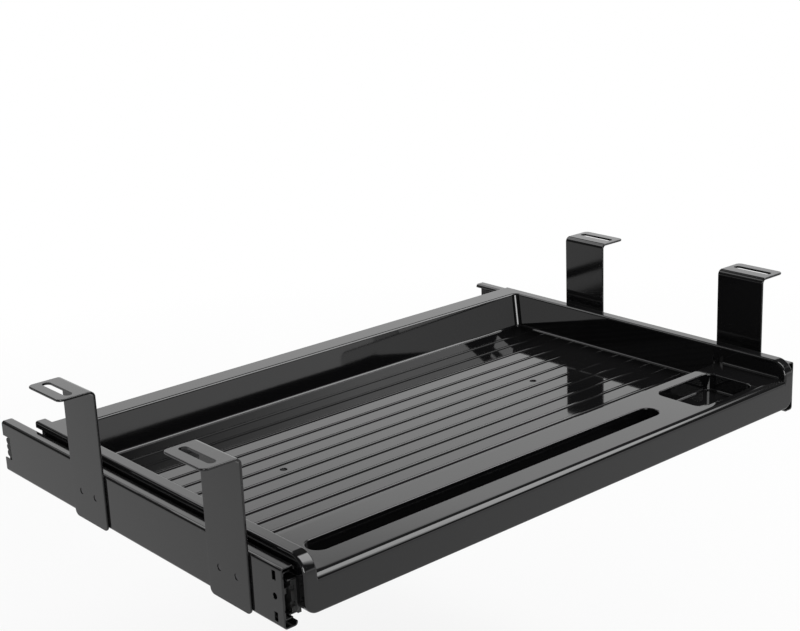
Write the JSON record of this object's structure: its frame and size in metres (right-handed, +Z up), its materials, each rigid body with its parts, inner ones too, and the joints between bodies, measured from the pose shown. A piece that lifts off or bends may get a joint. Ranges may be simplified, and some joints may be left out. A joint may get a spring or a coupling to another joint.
{
  "type": "keyboard tray",
  "caption": "Pull-out keyboard tray with pen slot and pocket, hung under a desk by sheet-metal brackets on full-extension ball bearing slides.",
  "frame": {"origin": "middle of the desk-fixing slots, on the plane of the desk's underside", "axes": "+X to the user's right, +Y away from the user to the back, +Z up into the desk"},
  "size_m": [0.6384, 0.409, 0.118],
  "materials": {
    "tray_plastic": "high gloss, moulded",
    "bracket_paint": "gloss black powder coat",
    "rail_paint": "gloss black electro-coat",
    "screw_steel": "zinc plated",
    "screw_black": "black plated",
    "buffer_rubber": "matt",
    "cage_plastic": "satin, moulded",
    "ball_steel": "polished, lightly greased",
    "lever_plastic": "satin, moulded"
  },
  "bodies": {
    "frame": {"front_left_bracket": "bracket_paint", "front_right_bracket": "bracket_paint", "rear_left_bracket": "bracket_paint", "rear_right_bracket": "bracket_paint", "left_bracket_screws": "screw_black", "left_outer_rail": "rail_paint", "left_rear_buffer": "buffer_rubber", "right_bracket_screws": "screw_black", "right_outer_rail": "rail_paint", "right_rear_buffer": "buffer_rubber"},
    "tray": {"tray": "tray_plastic", "left_inner_rail": "rail_paint", "left_front_buffer": "buffer_rubber", "left_tray_screws": "screw_steel", "right_inner_rail": "rail_paint", "right_front_buffer": "buffer_rubber", "right_tray_screws": "screw_steel"},
    "left_middle": {"left_middle_rail": "rail_paint"},
    "left_outer_cage": {"left_outer_ball_cage": "cage_plastic", "left_outer_balls": "ball_steel"},
    "left_inner_cage": {"left_inner_ball_cage": "cage_plastic", "left_inner_balls": "ball_steel"},
    "left_lever": {"left_release_lever": "lever_plastic"},
    "right_middle": {"right_middle_rail": "rail_paint"},
    "right_outer_cage": {"right_outer_ball_cage": "cage_plastic", "right_outer_balls": "ball_steel"},
    "right_inner_cage": {"right_inner_ball_cage": "cage_plastic", "right_inner_balls": "ball_steel"},
    "right_lever": {"right_release_lever": "lever_plastic"}
  },
  "joints": [
    {"name": "tray_slide", "type": "slide", "parent": "frame", "child": "tray", "axis": [0, -1, 0], "range_m": [0, 0.4]},
    {"name": "left_middle_slide", "type": "slide", "parent": "frame", "child": "left_middle", "axis": [0, -1, 0], "range_m": [0, 0.2]},
    {"name": "left_outer_cage_slide", "type": "slide", "parent": "frame", "child": "left_outer_cage", "axis": [0, -1, 0], "range_m": [0, 0.1]},
    {"name": "left_inner_cage_slide", "type": "slide", "parent": "frame", "child": "left_inner_cage", "axis": [0, -1, 0], "range_m": [0, 0.3]},
    {"name": "right_middle_slide", "type": "slide", "parent": "frame", "child": "right_middle", "axis": [0, -1, 0], "range_m": [0, 0.2]},
    {"name": "right_outer_cage_slide", "type": "slide", "parent": "frame", "child": "right_outer_cage", "axis": [0, -1, 0], "range_m": [0, 0.1]},
    {"name": "right_inner_cage_slide", "type": "slide", "parent": "frame", "child": "right_inner_cage", "axis": [0, -1, 0], "range_m": [0, 0.3]},
    {"name": "left_lever_press", "type": "hinge", "parent": "tray", "child": "left_lever", "pos_m": [-0.278, 0.0715, -0.0932], "axis": [1, 0, 0], "range_deg": [0, 5], "stiffness_Nm_per_rad": 0.2},
    {"name": "right_lever_press", "type": "hinge", "parent": "tray", "child": "right_lever", "pos_m": [0.278, 0.0715, -0.0932], "axis": [-1, 0, 0], "range_deg": [0, 5], "stiffness_Nm_per_rad": 0.2}
  ],
  "couplings": [
    {"joint": "left_middle_slide", "follows": "tray_slide", "ratio": 0.5},
    {"joint": "left_outer_cage_slide", "follows": "tray_slide", "ratio": 0.25},
    {"joint": "left_inner_cage_slide", "follows": "tray_slide", "ratio": 0.75},
    {"joint": "right_middle_slide", "follows": "tray_slide", "ratio": 0.5},
    {"joint": "right_outer_cage_slide", "follows": "tray_slide", "ratio": 0.25},
    {"joint": "right_inner_cage_slide", "follows": "tray_slide", "ratio": 0.75}
  ]
}
